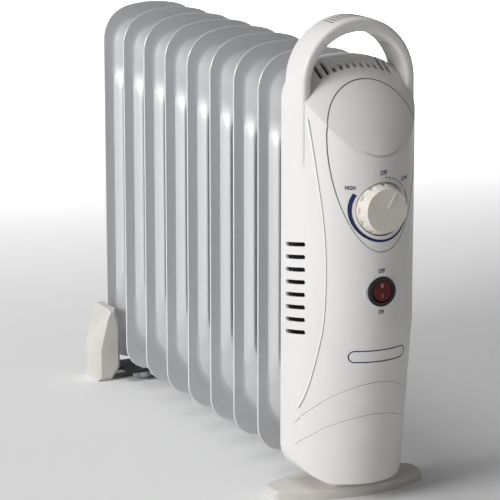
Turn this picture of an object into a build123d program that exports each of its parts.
from build123d import *
import os
from math import cos, radians, sin, sqrt

os.makedirs("parts", exist_ok=True)

# Oil filled radiator heater, millimetres, +Z up, the control panel faces -Y.
# The origin is on the floor, under the middle of the heater.

# ---- ribs: each is two pressed steel sheets, welded together round their flat edge
rib_count = 9
rib_pitch = 46.0
rib_width = 95.0
rib_height = 330.0
rib_floor_gap = 17.0
rib_bottom_corner = 22.0
rib_top_corner = 30.0
rib_crown_radius = 107.0
sheet_thickness = 0.8
flange_side = 9.3
flange_top = 12.0
flange_bottom = 13.6
bulge_height = 9.8
bulge_end_rise = 30.0
bulge_taper = 20.0
bulge_top_corner = 22.0
valley_width = 64.0
valley_depth = 7.0
header_boss_radius = 38.0
header_inset = 27.0
header_radius = 18.0
header_wall = 2.0

# ---- front cover with its handle
cover_reach = 76.0
cover_wall = 2.2
rim_gap = 0.3
rim_lip = 1.0
cover_front_depth = 59.0
cover_side_margin = 0.5
lean_start = 145.0
lean_back = 16.0
dome_axis_height = 270.0
dome_centre_depth = 23.5
dome_centre_height = 253.0
dome_radius = 103.0
handle_top = 380.0
handle_spring = 330.0
handle_grip = 11.0
handle_leg = 8.0
handle_depth = 32.0
handle_setback = 4.0
handle_rounding = 3.2
side_slot_count = 8
side_slot_pitch = 10.0
side_slot_height = 3.4
side_slot_length = 29.0
side_slot_setback = 8.0
side_slot_lowest = 135.0
side_slot_tilt = 10.0
top_vent_count = 11
top_vent_pitch = 5.9
top_vent_width = 3.0
top_vent_short = 6.4
top_vent_long = 15.5
top_vent_long_count = 2
top_vent_front = 30.0
boss_radius = 3.5
boss_side = 41.0
boss_heights = (100.0, 216.0)

# ---- control fascia: an egg shaped insert in the front cover
fascia_half_width = 38.0
fascia_centre_height = 296.0
fascia_drop = 91.0
fascia_gap = 0.4
fascia_lip = 3.0
dial_height = 238.5
dial_recess_gap = 0.8
dial_recess_depth = 5.5
dial_pad_thickness = 2.5

# ---- thermostat
knob_radius = 20.3
knob_face_radius = 17.0
knob_proud = 7.5
knob_gap = 0.5
knob_rim = 3.0
knob_wall = 2.0
knob_hub_radius = 5.5
knob_scallops = 12
knob_scallop_radius = 3.0
knob_scallop_offset = 1.0
pointer_length = 13.0
pointer_width = 1.8
pointer_height = 0.6
pointer_angle = 60.0
spindle_radius = 3.0
running_gap = 0.05
bush_radius = 5.0
bush_reach = 5.0
thermostat_width = 30.0
thermostat_height = 26.0
thermostat_depth = 14.0
nut_thickness = 2.0
nut_across_corners = 15.0
tab_length = 8.0
tab_width = 6.3
tab_thickness = 0.8

# ---- rocker switch
switch_height = 174.0
switch_barrel_radius = 10.0
switch_bezel_radius = 11.6
switch_bezel_proud = 0.5
switch_seat_depth = 1.8
switch_depth = 16.0
switch_cavity_radius = 8.8
switch_cavity_depth = 9.5
switch_seat_gap = 0.3
rocker_radius = 8.0
rocker_tilt = 8.0
rocker_front = 4.5
rocker_back = 1.5
rocker_pivot_depth = 4.0
rocker_pin_radius = 1.2
rocker_pin_half_length = 9.5

# ---- inside the cover
plate_thickness = 1.5
plate_half_width = 45.0
plate_bottom = 84.0
plate_top = 280.0
stud_radius = 3.0
stud_heights = (125.0, 240.0)
m6_nut_across_corners = 11.5
m6_nut_thickness = 5.0
screw_radius = 1.5
screw_head_radius = 3.0
screw_head_height = 2.0
screw_head_gap = 0.2
screw_sink = 2.5
screw_grip = 8.0
flange_disc_radius = 20.0
flange_disc_thickness = 4.0
element_radius = 4.0
element_half_spacing = 8.0
terminal_bead_radius = 3.5
terminal_bead_length = 6.0
terminal_pin_radius = 1.5
terminal_pin_length = 12.0
cutout_radius = 8.0
cutout_depth = 7.0
clip_width = 10.0
clip_thickness = 1.0
clip_foot = 10.0
block_length = 30.0
block_height = 16.0
block_depth = 14.0
block_centre_height = 182.0
block_screw_depth = 2.0
block_screw_height = 3.0
block_row_pitch = 8.0
block_pole_count = 3
block_pole_pitch = 9.0
block_screw_radius = 2.5
earth_side = 25.0
earth_height = 104.0
earth_radius = 4.0
earth_thickness = 3.0
gland_height = 72.0
gland_setback = 8.5
gland_neck_radius = 4.6
gland_flange_radius = 6.5
gland_flange_thickness = 2.5
gland_bore_radius = 3.3
filler_radius = 6.0
filler_thickness = 3.0

# ---- feet
front_foot_half_length = 67.0
front_foot_half_depth = 29.0
front_foot_tip_half_depth = 10.0
front_foot_tip_rounding = 9.0
front_foot_thickness = 8.0
front_foot_edge = 3.0
front_foot_forward = 15.0
pedestal_half_length = 21.0
pedestal_depth = 26.0
pedestal_forward = 24.0
pedestal_corner = 9.0
foot_boss_height = 10.0
foot_screw_side = 15.0
foot_reach = 14.0
rear_foot_depth = 30.0
rear_foot_outside = 63.0
rear_foot_inside = 40.5
rear_foot_height = 68.0
rear_foot_shoulder = 30.0
rear_foot_neck = 56.0
rear_foot_cheek = 10.0
rear_foot_lean = 4.0
rear_foot_crest = 45.0
rear_foot_inner_drop = 18.0
rear_foot_bevel_height = 12.0
rear_foot_bottom_inside = 49.0
rear_foot_edge = 3.0
rear_foot_slot_gap = 0.3
rear_foot_screw_side = 55.0
rear_foot_screw_setback = 9.0
bar_bottom = 8.0
bar_thickness = 3.0
bar_half_length = 58.0
bar_margin = 3.0
bar_waist_half_length = 38.0
u_bolt_radius = 2.5
u_bolt_gap = 0.3
wing_nut_radius = 5.0
wing_nut_thickness = 5.0
wing_span = 11.0
wing_thickness = 2.0

# ---- places worked out from the sizes above
overall_length = knob_proud + cover_reach + (rib_count - 1) * rib_pitch + foot_reach
panel_y = -overall_length / 2 + knob_proud
rib_1_y = panel_y + cover_reach
last_rib_y = rib_1_y + (rib_count - 1) * rib_pitch
rib_top = rib_floor_gap + rib_height
bulge_half_width = rib_width / 2 - flange_side
bulge_top = rib_top - flange_top
bulge_bottom = rib_floor_gap + flange_bottom
bulge_arc_top = bulge_bottom + bulge_end_rise
header_low = bulge_bottom + header_inset
header_high = bulge_top - header_inset
rim_offset = rim_gap + rim_lip
cover_half_width = rib_width / 2 + rim_offset
cover_bottom = rib_floor_gap - rim_offset
rib_1_face = rib_1_y - bulge_height
plate_front = rib_1_face - plate_thickness
pad_front = panel_y + dial_recess_depth
pad_back = pad_front + dial_pad_thickness


def rib_y(number):
    """Y of the weld plane of rib number 1, 2, ..."""
    return rib_1_y + (number - 1) * rib_pitch


def sagitta(half_chord, radius):
    """Height of an arc over its chord."""
    return radius - sqrt(radius ** 2 - half_chord ** 2)


def facing_front(y):
    """Plane at y that looks towards -Y, with its own x along X and its own y along Z."""
    return Plane((0, y, 0), x_dir=(1, 0, 0), z_dir=(0, -1, 0))


def facing_back(y):
    """Plane at y that looks towards +Y, with its own y along Z."""
    return Plane((0, y, 0), x_dir=(-1, 0, 0), z_dir=(0, 1, 0))


def save(piece, name):
    """Label a finished piece and write its STEP file."""
    piece.label = name
    export_step(piece, "parts/" + name + ".step")


# ---------------------------------------------------------------- ribs
def rib_outline(plane, grow):
    """Outer outline of a rib: arched top, round bottom corners."""
    half = rib_width / 2 + grow
    top = rib_top + grow
    bottom = rib_floor_gap - grow
    shoulder = top - sagitta(half, rib_crown_radius + grow)
    with BuildSketch(plane) as outline:
        with BuildLine():
            Polyline((-half, shoulder), (-half, bottom), (half, bottom), (half, shoulder))
            ThreePointArc((half, shoulder), (0, top), (-half, shoulder))
        make_face()
        fillet(outline.vertices().group_by(Axis.Y)[-1], rib_top_corner + grow)
        fillet(outline.vertices().group_by(Axis.Y)[0], rib_bottom_corner + grow)
    return outline.sketch


def bulge_outline(plane, inset):
    """Outline of the pressed oil channel, round at the bottom and arched at the top."""
    half = bulge_half_width - inset
    top = bulge_top - inset
    bottom = bulge_bottom + inset
    shoulder = top - sagitta(half, rib_crown_radius)
    with BuildSketch(plane) as outline:
        with BuildLine():
            Line((-half, shoulder), (-half, bulge_arc_top))
            ThreePointArc((-half, bulge_arc_top), (0, bottom), (half, bulge_arc_top))
            Line((half, bulge_arc_top), (half, shoulder))
            ThreePointArc((half, shoulder), (0, top), (-half, shoulder))
        make_face()
        fillet(outline.vertices().group_by(Axis.Y)[-1], bulge_top_corner - inset)
    return outline.sketch


def valley_outline(plane, grow):
    """Hollow between the two upright ridges of a rib; it ends round the header bosses."""
    with BuildSketch(plane) as outline:
        with Locations((0, (header_low + header_high) / 2)):
            Rectangle(valley_width + 2 * grow, header_high - header_low)
        with Locations((0, header_low), (0, header_high)):
            Circle(header_boss_radius - grow, mode=Mode.SUBTRACT)
    return outline.sketch


def rib_sheet(plane, hole_heights):
    """One pressed sheet of a rib; it stands on its weld plane and bulges along the normal."""
    top_plane = plane.offset(bulge_height)
    slope = bulge_taper
    with BuildPart() as oil_space:
        inside = bulge_height - sheet_thickness
        extrude(bulge_outline(plane, sheet_thickness), amount=inside, taper=slope)
        extrude(valley_outline(top_plane, sheet_thickness), amount=-valley_depth - sheet_thickness,
                taper=slope, mode=Mode.SUBTRACT)
    with BuildPart() as sheet:
        extrude(rib_outline(plane, 0), amount=sheet_thickness)
        extrude(bulge_outline(plane, 0), amount=bulge_height, taper=slope)
        extrude(valley_outline(top_plane, 0), amount=-valley_depth, taper=slope,
                mode=Mode.SUBTRACT)
        add(oil_space.part, mode=Mode.SUBTRACT)
        if hole_heights:
            with BuildSketch(plane):
                with Locations(*[(0, height) for height in hole_heights]):
                    Circle(header_radius - header_wall)
            extrude(amount=bulge_height, mode=Mode.SUBTRACT)
    return sheet.part


for number in range(1, rib_count + 1):
    front_holes = [header_low] if number == 1 else [header_low, header_high]
    back_holes = [] if number == rib_count else [header_low, header_high]
    front_sheet = rib_sheet(facing_front(rib_y(number)), front_holes)
    back_sheet = rib_sheet(facing_back(rib_y(number)), back_holes)
    save(front_sheet, "rib_%d_front_sheet" % number)
    save(back_sheet, "rib_%d_back_sheet" % number)

for name, height in (("bottom_header_joints", header_low), ("top_header_joints", header_high)):
    with BuildPart() as header:
        for number in range(1, rib_count):
            with BuildSketch(facing_back(rib_y(number) + bulge_height)):
                with Locations((0, height)):
                    Circle(header_radius)
                    Circle(header_radius - header_wall, mode=Mode.SUBTRACT)
            extrude(amount=rib_pitch - 2 * bulge_height)
    save(header.part, name)

with BuildPart() as filler_plug:
    with BuildSketch(facing_back(last_rib_y + bulge_height)):
        with Locations((0, header_high)):
            Circle(filler_radius)
    extrude(amount=filler_thickness)
    chamfer(filler_plug.faces().sort_by(Axis.Y)[-1].edges(), filler_thickness / 3)
save(filler_plug.part, "filler_plug")

# ---------------------------------------------------------------- heating element
flange_front = rib_1_face - flange_disc_thickness

with BuildPart() as element_flange:
    with BuildSketch(facing_front(rib_1_face)):
        with Locations((0, header_low)):
            Circle(flange_disc_radius)
    extrude(amount=flange_disc_thickness)
    chamfer(element_flange.faces().sort_by(Axis.Y)[0].edges(), 1)
save(element_flange.part, "element_flange")

element_end = rib_y(rib_count - 1)
with BuildPart() as heating_element:
    with BuildLine() as element_path:
        Line((element_half_spacing, rib_1_face, header_low), (element_half_spacing, element_end, header_low))
        ThreePointArc(
            (element_half_spacing, element_end, header_low),
            (0, element_end + element_half_spacing, header_low),
            (-element_half_spacing, element_end, header_low),
        )
        Line((-element_half_spacing, element_end, header_low),
             (-element_half_spacing, rib_1_face, header_low))
    with BuildSketch(Plane((element_half_spacing, rib_1_face, header_low), z_dir=(0, 1, 0))):
        Circle(element_radius)
    sweep(path=element_path.line)
save(heating_element.part, "heating_element")

with BuildPart() as element_terminals:
    with BuildSketch(facing_front(flange_front)):
        with Locations((-element_half_spacing, header_low), (element_half_spacing, header_low)):
            Circle(terminal_bead_radius)
    extrude(amount=terminal_bead_length)
    with BuildSketch(facing_front(flange_front)):
        with Locations((-element_half_spacing, header_low), (element_half_spacing, header_low)):
            Circle(terminal_pin_radius)
    extrude(amount=terminal_pin_length)
save(element_terminals.part, "element_terminals")


# ---------------------------------------------------------------- front cover
def cover_plan(height, inset, front_y):
    """Plan section of the cover: flat sides running into a half ellipse at the front."""
    half = cover_half_width + cover_side_margin - inset
    depth = cover_front_depth - inset
    widest_y = front_y + cover_front_depth
    rear_y = rib_1_y + rib_pitch
    with BuildSketch(Plane.XY.offset(height)) as plan:
        with BuildLine():
            EllipticalCenterArc((0, widest_y), half, depth, start_angle=180, arc_size=180)
            Polyline((half, widest_y), (half, rear_y), (-half, rear_y), (-half, widest_y))
        make_face()
    return plan.sketch


def dome_height(y, radius):
    """Height of the dome's top line at y, on an arc in the middle plane."""
    centre_y = rib_1_y + dome_centre_depth
    return dome_centre_height + sqrt(radius ** 2 - (centre_y - y) ** 2)


def cover_roof(inset, rear_y):
    """Everything under the domed top: a block up to the dome's axis, and the dome on it."""
    radius = dome_radius - inset
    rise = dome_axis_height - dome_centre_height
    front_y = rib_1_y + dome_centre_depth - sqrt(radius ** 2 - rise ** 2)
    steps = [front_y + (rear_y - front_y) * share ** 2 for share in (0, 0.2, 0.4, 0.6, 0.8, 1)]
    with BuildPart() as roof:
        with BuildSketch(Plane.YZ):
            with BuildLine():
                Spline(*[(y, 2 * dome_axis_height - dome_height(y, radius)) for y in steps])
                Polyline((rear_y, 2 * dome_axis_height - dome_height(rear_y, radius)),
                         (rear_y, dome_axis_height), (front_y, dome_axis_height))
            make_face()
        revolve(axis=Axis((0, 0, dome_axis_height), (0, 1, 0)), revolution_arc=360)
        with BuildSketch(Plane.XY):
            Rectangle(4 * cover_half_width, 2 * overall_length)
        extrude(amount=dome_axis_height)
    return roof.part


def cover_body(inset, rear_y):
    """Solid inside the cover's outer skin (inset 0), or inside a deeper skin."""
    bottom = cover_bottom + inset
    roof = cover_roof(inset, rear_y + 1)
    rise = lean_start - bottom
    lean = lean_back * rise / (lean_start - cover_bottom)
    with BuildPart() as body:
        extrude(cover_plan(lean_start, inset, panel_y), amount=handle_top - lean_start)
        extrude(cover_plan(bottom, inset, panel_y + lean), amount=sqrt(rise ** 2 + lean ** 2),
                dir=(0, -lean, rise))
        add(roof, mode=Mode.INTERSECT)
        extrude(rib_outline(facing_front(rear_y), rim_offset - inset), amount=overall_length,
                mode=Mode.INTERSECT)
    return body.part


def fascia_block(grow):
    """Egg shaped prism through the front wall, round above and long below its widest line."""
    half = fascia_half_width + grow
    with BuildSketch(facing_front(rib_1_y - handle_depth)) as egg:
        with BuildLine():
            CenterArc((0, fascia_centre_height), half, 0, 180)
            EllipticalCenterArc((0, fascia_centre_height), half, fascia_drop + grow,
                                start_angle=180, arc_size=180)
        make_face()
    with BuildPart() as block:
        extrude(egg.sketch, amount=cover_reach)
    return block.part


def arch_outline(plane, inset_side, inset_top):
    """Tall half ellipse on two straight legs, in front view."""
    half = cover_half_width - inset_side
    with BuildSketch(plane) as outline:
        with BuildLine():
            EllipticalCenterArc((0, handle_spring), half, handle_top - handle_spring - inset_top,
                                start_angle=0, arc_size=180)
            Polyline((-half, handle_spring), (-half, dome_axis_height), (half, dome_axis_height),
                     (half, handle_spring))
        make_face()
    return outline.sketch


rear_of_cover = rib_1_y + sheet_thickness
outer_body = cover_body(0, rear_of_cover)
inner_body = cover_body(cover_wall, rear_of_cover + 1)
handle_plane = facing_front(rib_1_y - handle_setback)
gland_y = rib_1_y - gland_setback
switch_seat_y = panel_y + switch_seat_depth
screw_boss_places = [(side, height) for side in (-boss_side, boss_side) for height in boss_heights]
foot_screw_places = [(side, rib_1_y - pedestal_forward) for side in (-foot_screw_side, foot_screw_side)]

with BuildPart() as handle:
    extrude(arch_outline(handle_plane, 0, 0), amount=handle_depth)
    extrude(arch_outline(handle_plane, handle_leg, handle_grip), amount=handle_depth,
            mode=Mode.SUBTRACT)
    rims = handle.faces().filter_by(Axis.Y).edges()
    fillet(rims.filter_by_position(Axis.Z, dome_axis_height + 1, handle_top), handle_rounding)

with BuildPart() as screw_bosses:
    with BuildSketch(facing_front(plate_front)):
        with Locations(*screw_boss_places):
            Circle(boss_radius)
    extrude(amount=cover_reach)
    add(outer_body, mode=Mode.INTERSECT)

with BuildPart() as side_slots:
    with BuildSketch(Plane.YZ.offset(-cover_half_width - 1)):
        first_y = rib_1_y - side_slot_setback - side_slot_length / 2
        middle_z = side_slot_lowest + side_slot_pitch * (side_slot_count - 1) / 2
        with Locations((first_y, middle_z)):
            with GridLocations(1, side_slot_pitch, 1, side_slot_count):
                SlotOverall(side_slot_length, side_slot_height, rotation=-side_slot_tilt)
    extrude(amount=2 * cover_half_width + 2)

with BuildPart() as top_vents:
    with BuildSketch(Plane.XY.offset(dome_axis_height)):
        for vent in range(top_vent_count):
            from_end = min(vent, top_vent_count - 1 - vent)
            length = top_vent_long if from_end < top_vent_long_count else top_vent_short
            vent_x = (vent - (top_vent_count - 1) / 2) * top_vent_pitch
            with Locations((vent_x, rib_1_y - top_vent_front + length / 2)):
                SlotOverall(length, top_vent_width, rotation=90)
    extrude(amount=handle_top - handle_grip - dome_axis_height - 1)

with BuildPart() as front_cover:
    add(outer_body)
    add(handle.part)
    add(inner_body, mode=Mode.SUBTRACT)
    add(screw_bosses.part)
    add(side_slots.part, mode=Mode.SUBTRACT)
    add(top_vents.part, mode=Mode.SUBTRACT)
    add(fascia_block(0), mode=Mode.SUBTRACT)
    extrude(rib_outline(facing_front(rear_of_cover), rim_gap), amount=2 * sheet_thickness,
            mode=Mode.SUBTRACT)
    with BuildSketch(facing_front(switch_seat_y + cover_wall)):
        with Locations((0, switch_height)):
            Circle(switch_bezel_radius + cover_wall)
    extrude(amount=cover_wall)
    with BuildSketch(facing_front(switch_seat_y)):
        with Locations((0, switch_height)):
            Circle(switch_bezel_radius + switch_seat_gap)
    extrude(amount=cover_reach, mode=Mode.SUBTRACT)
    with BuildSketch(facing_front(rib_1_y - cover_reach / 2)):
        with Locations((0, switch_height)):
            Circle(switch_barrel_radius)
    extrude(amount=cover_reach, mode=Mode.SUBTRACT)
    with BuildSketch(facing_front(plate_front)):
        with Locations(*screw_boss_places):
            Circle(screw_radius)
    extrude(amount=screw_grip, mode=Mode.SUBTRACT)
    with BuildSketch(Plane.YZ.offset(cover_half_width / 2)):
        with Locations((gland_y, gland_height)):
            Circle(gland_neck_radius)
    extrude(amount=cover_half_width, mode=Mode.SUBTRACT)
    with BuildSketch(Plane.XY.offset(cover_bottom)):
        with Locations(*foot_screw_places):
            Circle(boss_radius)
    extrude(amount=foot_boss_height)
    with BuildSketch(Plane.XY.offset(cover_bottom)):
        with Locations(*foot_screw_places):
            Circle(screw_radius)
    extrude(amount=screw_grip, mode=Mode.SUBTRACT)
save(front_cover.part, "front_cover")

# ---------------------------------------------------------------- control fascia
lip_skin = cover_body(cover_wall, rear_of_cover)
lip_core = cover_body(2 * cover_wall, rear_of_cover)

with BuildPart() as fascia_skin:
    add(outer_body)
    add(lip_skin, mode=Mode.SUBTRACT)
    add(fascia_block(-fascia_gap), mode=Mode.INTERSECT)

with BuildPart() as fascia_rear:
    add(lip_skin)
    add(lip_core, mode=Mode.SUBTRACT)
    add(fascia_block(fascia_lip), mode=Mode.INTERSECT)

dial_plane = facing_front(pad_back)
with BuildPart() as control_fascia:
    add(fascia_skin.part)
    add(fascia_rear.part)
    with BuildSketch(dial_plane):
        with Locations((0, dial_height)):
            Circle(knob_radius + dial_recess_gap + cover_wall)
    extrude(amount=dial_recess_depth)
    add(outer_body, mode=Mode.INTERSECT)
    with BuildSketch(facing_front(pad_front)):
        with Locations((0, dial_height)):
            Circle(knob_radius + dial_recess_gap)
    extrude(amount=cover_reach, mode=Mode.SUBTRACT)
    with BuildSketch(dial_plane):
        with Locations((0, dial_height)):
            Circle(bush_radius)
    extrude(amount=cover_reach, mode=Mode.SUBTRACT)
save(control_fascia.part, "control_fascia")

# ---------------------------------------------------------------- thermostat
spindle_back = pad_back + thermostat_depth / 2
bush_front = pad_front - bush_reach
knob_back = pad_front - knob_gap
knob_front = panel_y - knob_proud + pointer_height
spindle_front = knob_front + knob_wall

with BuildPart() as thermostat_body:
    with BuildSketch(facing_back(pad_back)):
        with Locations((0, dial_height)):
            RectangleRounded(thermostat_width, thermostat_height, 3)
    extrude(amount=thermostat_depth)
    with BuildSketch(facing_back(pad_back)):
        with Locations((0, dial_height)):
            Circle(spindle_radius + running_gap)
    extrude(amount=thermostat_depth / 2, mode=Mode.SUBTRACT)
save(thermostat_body.part, "thermostat_body")

with BuildPart() as thermostat_bush:
    with BuildSketch(dial_plane):
        with Locations((0, dial_height)):
            Circle(bush_radius)
            Circle(spindle_radius + running_gap, mode=Mode.SUBTRACT)
    extrude(amount=dial_pad_thickness + bush_reach)
save(thermostat_bush.part, "thermostat_bush")

with BuildPart() as thermostat_nut:
    with BuildSketch(facing_front(pad_front)):
        with Locations((0, dial_height)):
            RegularPolygon(nut_across_corners / 2, 6)
            Circle(bush_radius, mode=Mode.SUBTRACT)
    extrude(amount=nut_thickness)
save(thermostat_nut.part, "thermostat_nut")

with BuildPart() as thermostat_spindle:
    with BuildSketch(facing_front(spindle_back)):
        with Locations((0, dial_height)):
            Circle(spindle_radius)
    extrude(amount=spindle_back - spindle_front)
save(thermostat_spindle.part, "thermostat_spindle")

with BuildPart() as thermostat_terminals:
    with BuildSketch(facing_back(pad_back + thermostat_depth)):
        with Locations((0, dial_height)):
            with GridLocations(thermostat_width / 2, 1, 2, 1):
                Rectangle(tab_width, tab_thickness)
    extrude(amount=tab_length)
save(thermostat_terminals.part, "thermostat_terminals")

pointer_middle = knob_face_radius - pointer_length / 2 - pointer_width
cavity_front = bush_front - knob_gap - knob_wall
with BuildPart() as thermostat_knob:
    with BuildSketch(Plane.YZ):
        with BuildLine():
            Polyline(
                (knob_back, dial_height),
                (knob_back, dial_height + knob_radius),
                (knob_back - knob_rim, dial_height + knob_radius),
                (knob_front, dial_height + knob_face_radius),
                (knob_front, dial_height),
                close=True,
            )
        make_face()
    revolve(axis=Axis((0, 0, dial_height), (0, 1, 0)), revolution_arc=360)
    with BuildSketch(facing_front(knob_back)):
        with Locations((0, dial_height)):
            Circle(knob_face_radius)
    extrude(amount=knob_back - cavity_front, mode=Mode.SUBTRACT)
    with BuildSketch(facing_front(bush_front - knob_gap)):
        with Locations((0, dial_height)):
            Circle(knob_hub_radius)
    extrude(amount=knob_wall)
    with BuildSketch(facing_front(knob_back)):
        with Locations((0, dial_height)):
            Circle(spindle_radius)
    extrude(amount=knob_back - spindle_front, mode=Mode.SUBTRACT)
    with BuildSketch(facing_front(knob_back - knob_rim)):
        with Locations((0, dial_height)):
            with PolarLocations(knob_radius + knob_scallop_offset, knob_scallops):
                Circle(knob_scallop_radius)
    extrude(amount=knob_rim + knob_proud + dial_recess_depth, mode=Mode.SUBTRACT)
    with BuildSketch(facing_front(knob_front)):
        with Locations((0, dial_height)):
            with PolarLocations(pointer_middle, 1, start_angle=pointer_angle):
                SlotOverall(pointer_length, pointer_width)
    extrude(amount=pointer_height)
save(thermostat_knob.part, "thermostat_knob")

# ---------------------------------------------------------------- rocker switch
bezel_front = panel_y - switch_bezel_proud
rocker_pivot_y = panel_y + rocker_pivot_depth
tilt = radians(rocker_tilt)
rocker_plane = Plane((0, rocker_pivot_y, switch_height), x_dir=(1, 0, 0), z_dir=(0, -cos(tilt), sin(tilt)))
pin_plane = Plane((-rocker_pin_half_length, rocker_pivot_y, switch_height), x_dir=(0, 1, 0),
                  z_dir=(1, 0, 0))

with BuildPart() as switch_housing:
    with BuildSketch(facing_front(switch_seat_y)):
        with Locations((0, switch_height)):
            Circle(switch_bezel_radius)
    extrude(amount=switch_seat_y - bezel_front)
    with BuildSketch(facing_back(switch_seat_y)):
        with Locations((0, switch_height)):
            Circle(switch_barrel_radius)
    extrude(amount=switch_depth)
    with BuildSketch(facing_back(bezel_front)):
        with Locations((0, switch_height)):
            Circle(switch_cavity_radius)
    extrude(amount=switch_cavity_depth, mode=Mode.SUBTRACT)
    with BuildSketch(pin_plane.offset(-running_gap)):
        Circle(rocker_pin_radius + running_gap)
    extrude(amount=2 * (rocker_pin_half_length + running_gap), mode=Mode.SUBTRACT)
save(switch_housing.part, "switch_housing")

with BuildPart() as switch_rocker:
    with BuildSketch(rocker_plane):
        Circle(rocker_radius)
    extrude(amount=rocker_front)
    with BuildSketch(rocker_plane):
        Circle(rocker_radius)
    extrude(amount=-rocker_back)
    with BuildSketch(pin_plane):
        Circle(rocker_pin_radius)
    extrude(amount=2 * rocker_pin_half_length)
save(switch_rocker.part, "switch_rocker")

with BuildPart() as switch_terminals:
    with BuildSketch(facing_back(switch_seat_y + switch_depth)):
        with Locations((0, switch_height)):
            with GridLocations(1, switch_barrel_radius, 1, 2):
                Rectangle(tab_width, tab_thickness)
    extrude(amount=tab_length)
save(switch_terminals.part, "switch_terminals")

# ---------------------------------------------------------------- inside the cover
stud_places = [(0, height) for height in stud_heights]
stud_back = rib_1_y - bulge_height + valley_depth

with BuildPart() as mounting_plate:
    with BuildSketch(facing_front(rib_1_face)):
        with Locations((0, (plate_bottom + plate_top) / 2)):
            Rectangle(2 * plate_half_width, plate_top - plate_bottom)
        with Locations(*stud_places):
            Circle(stud_radius, mode=Mode.SUBTRACT)
        with Locations(*screw_boss_places):
            Circle(screw_radius, mode=Mode.SUBTRACT)
    extrude(amount=plate_thickness)
save(mounting_plate.part, "mounting_plate")

with BuildPart() as mounting_studs:
    with BuildSketch(facing_front(stud_back)):
        with Locations(*stud_places):
            Circle(stud_radius)
    extrude(amount=stud_back - plate_front + m6_nut_thickness + 2)
save(mounting_studs.part, "mounting_studs")

with BuildPart() as mounting_nuts:
    with BuildSketch(facing_front(plate_front)):
        with Locations(*stud_places):
            RegularPolygon(m6_nut_across_corners / 2, 6)
            Circle(stud_radius, mode=Mode.SUBTRACT)
    extrude(amount=m6_nut_thickness)
save(mounting_nuts.part, "mounting_nuts")

with BuildPart() as cover_screws:
    with BuildSketch(facing_front(rib_1_face)):
        with Locations(*screw_boss_places):
            Circle(screw_radius)
    extrude(amount=plate_thickness + screw_grip)
    with BuildSketch(facing_back(rib_1_face)):
        with Locations(*[(-side, height) for side, height in screw_boss_places]):
            Circle(screw_head_radius)
    extrude(amount=screw_head_height)
save(cover_screws.part, "cover_screws")

with BuildPart() as thermal_cutout:
    with BuildSketch(facing_front(rib_1_face)):
        with Locations((0, header_high)):
            Circle(cutout_radius)
    extrude(amount=cutout_depth)
save(thermal_cutout.part, "thermal_cutout")

clip_half = cutout_radius + clip_thickness
with BuildPart() as cutout_clip:
    with BuildSketch(Plane.XY.offset(header_high - clip_width / 2)):
        with Locations((0, rib_1_face)):
            Rectangle(2 * clip_half, cutout_depth + clip_thickness, align=(Align.CENTER, Align.MAX))
            Rectangle(2 * (clip_half + clip_foot), clip_thickness, align=(Align.CENTER, Align.MAX))
            Rectangle(2 * cutout_radius, cutout_depth, align=(Align.CENTER, Align.MAX),
                      mode=Mode.SUBTRACT)
    extrude(amount=clip_width)
save(cutout_clip.part, "cutout_clip")

block_front = plate_front - block_depth
with BuildPart() as terminal_block:
    with BuildSketch(facing_front(plate_front)):
        with Locations((0, block_centre_height)):
            Rectangle(block_length, block_height)
    extrude(amount=block_depth)
    with BuildSketch(facing_front(block_front + block_screw_depth)):
        with Locations((0, block_centre_height)):
            with GridLocations(block_pole_pitch, block_row_pitch, block_pole_count, 2):
                Circle(block_screw_radius)
    extrude(amount=block_screw_depth, mode=Mode.SUBTRACT)
save(terminal_block.part, "terminal_block")

with BuildPart() as terminal_screws:
    with BuildSketch(facing_front(block_front + block_screw_depth)):
        with Locations((0, block_centre_height)):
            with GridLocations(block_pole_pitch, block_row_pitch, block_pole_count, 2):
                Circle(block_screw_radius)
    extrude(amount=block_screw_height)
save(terminal_screws.part, "terminal_screws")

with BuildPart() as earth_screw:
    with BuildSketch(facing_front(plate_front)):
        with Locations((earth_side, earth_height)):
            RegularPolygon(earth_radius, 6)
    extrude(amount=earth_thickness)
save(earth_screw.part, "earth_screw")

inner_side = cover_half_width - cover_wall
with BuildPart() as cord_gland:
    with BuildSketch(Plane.YZ.offset(inner_side - gland_flange_thickness)):
        with Locations((gland_y, gland_height)):
            Circle(gland_flange_radius)
    extrude(amount=gland_flange_thickness)
    with BuildSketch(Plane.YZ.offset(inner_side)):
        with Locations((gland_y, gland_height)):
            Circle(gland_neck_radius)
    extrude(amount=cover_wall)
    with BuildSketch(Plane.YZ.offset(cover_half_width)):
        with Locations((gland_y, gland_height)):
            Circle(gland_flange_radius)
    extrude(amount=gland_flange_thickness)
    with BuildSketch(Plane.YZ.offset(inner_side - gland_flange_thickness)):
        with Locations((gland_y, gland_height)):
            Circle(gland_bore_radius)
    extrude(amount=cover_half_width, mode=Mode.SUBTRACT)
save(cord_gland.part, "cord_gland")

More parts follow.
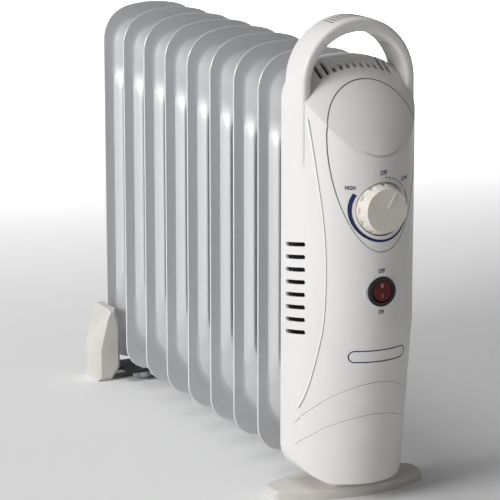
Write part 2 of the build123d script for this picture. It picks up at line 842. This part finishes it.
# ---------------------------------------------------------------- front foot
foot_y = rib_1_y - front_foot_forward
with BuildPart() as front_foot:
    with BuildSketch(Plane.XY) as foot_plan:
        with BuildLine():
            tip = front_foot_tip_half_depth
            end = front_foot_half_length
            ThreePointArc((-end, foot_y - tip), (0, foot_y - front_foot_half_depth), (end, foot_y - tip))
            Line((end, foot_y - tip), (end, foot_y + tip))
            ThreePointArc((end, foot_y + tip), (0, foot_y + front_foot_half_depth), (-end, foot_y + tip))
            Line((-end, foot_y + tip), (-end, foot_y - tip))
        make_face()
        fillet(foot_plan.vertices(), front_foot_tip_rounding)
    extrude(amount=front_foot_thickness)
    fillet(front_foot.faces().sort_by(Axis.Z)[-1].edges(), front_foot_edge)
    with BuildSketch(Plane.XY.offset(front_foot_thickness)):
        with Locations((0, rib_1_y - pedestal_forward)):
            RectangleRounded(2 * pedestal_half_length, pedestal_depth, pedestal_corner)
    extrude(amount=cover_bottom - front_foot_thickness)
    with BuildSketch(Plane.XY):
        with Locations(*foot_screw_places):
            Circle(screw_radius)
    extrude(amount=cover_bottom, mode=Mode.SUBTRACT)
    with BuildSketch(Plane.XY):
        with Locations(*foot_screw_places):
            Circle(screw_head_radius + screw_head_gap)
    extrude(amount=screw_sink, mode=Mode.SUBTRACT)
save(front_foot.part, "front_foot")

with BuildPart() as front_foot_screws:
    with BuildSketch(Plane.XY.offset(screw_sink - screw_head_height)):
        with Locations(*foot_screw_places):
            Circle(screw_head_radius)
    extrude(amount=screw_head_height)
    with BuildSketch(Plane.XY.offset(screw_sink)):
        with Locations(*foot_screw_places):
            Circle(screw_radius)
    extrude(amount=cover_bottom + screw_grip - screw_sink)
save(front_foot_screws.part, "front_foot_screws")

# ---------------------------------------------------------------- rear foot
rear_end = last_rib_y + foot_reach
bolt_y = last_rib_y - rib_pitch / 2
bolt_side = header_radius + u_bolt_gap + u_bolt_radius
bar_front = bolt_y - u_bolt_radius - bar_margin
bar_rear = rear_end - bar_margin
rear_screw_y = last_rib_y - rear_foot_screw_setback
rear_screw_places = [(side, rear_screw_y) for side in (-rear_foot_screw_side, rear_foot_screw_side)]
bolt_places = [(-bolt_side, bolt_y), (bolt_side, bolt_y)]

with BuildPart() as rear_foot_bar:
    with BuildSketch(Plane.XY.offset(bar_bottom)):
        with Locations((0, (bar_front + bar_rear) / 2)):
            Rectangle(2 * bar_waist_half_length, bar_rear - bar_front)
        with Locations((0, bar_rear)):
            Rectangle(2 * bar_half_length, rear_foot_depth - 2 * bar_margin,
                      align=(Align.CENTER, Align.MAX))
        with Locations(*bolt_places):
            Circle(u_bolt_radius, mode=Mode.SUBTRACT)
        with Locations(*rear_screw_places):
            Circle(screw_radius, mode=Mode.SUBTRACT)
    extrude(amount=bar_thickness)
save(rear_foot_bar.part, "rear_foot_bar")

for name, side in (("rear_foot_left", -1), ("rear_foot_right", 1)):
    with BuildPart() as rib_slot:
        slot_front = last_rib_y - sheet_thickness - rear_foot_slot_gap
        extrude(rib_outline(facing_back(slot_front), rear_foot_slot_gap),
                amount=2 * (sheet_thickness + rear_foot_slot_gap))
    with BuildPart() as rear_foot:
        with BuildSketch(facing_front(rear_end)):
            with BuildLine():
                Polyline(
                    (side * rear_foot_outside, 0),
                    (side * rear_foot_outside, rear_foot_shoulder),
                    (side * rear_foot_neck, rear_foot_height - rear_foot_cheek),
                    (side * (rear_foot_neck - rear_foot_lean), rear_foot_height),
                    (side * rear_foot_crest, rear_foot_height),
                    (side * rear_foot_inside, rear_foot_height - rear_foot_inner_drop),
                    (side * rear_foot_inside, rear_foot_bevel_height),
                    (side * rear_foot_bottom_inside, 0),
                    close=True,
                )
            make_face()
        extrude(amount=rear_foot_depth)
        chamfer(rear_foot.faces().sort_by(Axis.Y)[0].edges(), rear_foot_edge)
        add(rib_slot.part, mode=Mode.SUBTRACT)
        add(rear_foot_bar.part, mode=Mode.SUBTRACT)
        with BuildSketch(Plane.XY):
            with Locations(*rear_screw_places):
                Circle(screw_radius)
        extrude(amount=bar_bottom + bar_thickness + screw_grip, mode=Mode.SUBTRACT)
        with BuildSketch(Plane.XY):
            with Locations(*rear_screw_places):
                Circle(screw_head_radius + screw_head_gap)
        extrude(amount=screw_sink, mode=Mode.SUBTRACT)
    save(rear_foot.part, name)

with BuildPart() as rear_foot_screws:
    with BuildSketch(Plane.XY.offset(screw_sink - screw_head_height)):
        with Locations(*rear_screw_places):
            Circle(screw_head_radius)
    extrude(amount=screw_head_height)
    with BuildSketch(Plane.XY.offset(screw_sink)):
        with Locations(*rear_screw_places):
            Circle(screw_radius)
    extrude(amount=bar_bottom + bar_thickness + screw_grip - screw_sink)
save(rear_foot_screws.part, "rear_foot_screws")

bolt_end = bar_bottom - wing_nut_thickness
with BuildPart() as rear_u_bolt:
    with BuildLine() as bolt_path:
        Line((bolt_side, bolt_y, bolt_end), (bolt_side, bolt_y, header_low))
        ThreePointArc((bolt_side, bolt_y, header_low), (0, bolt_y, header_low + bolt_side),
                      (-bolt_side, bolt_y, header_low))
        Line((-bolt_side, bolt_y, header_low), (-bolt_side, bolt_y, bolt_end))
    with BuildSketch(Plane((bolt_side, bolt_y, bolt_end), z_dir=(0, 0, 1))):
        Circle(u_bolt_radius)
    sweep(path=bolt_path.line)
save(rear_u_bolt.part, "rear_u_bolt")

with BuildPart() as wing_nuts:
    with BuildSketch(Plane.XY.offset(bolt_end)):
        with Locations(*bolt_places):
            Circle(wing_nut_radius)
            RectangleRounded(2 * wing_span, wing_thickness, wing_thickness / 3)
            Circle(u_bolt_radius, mode=Mode.SUBTRACT)
    extrude(amount=wing_nut_thickness)
save(wing_nuts.part, "wing_nuts")
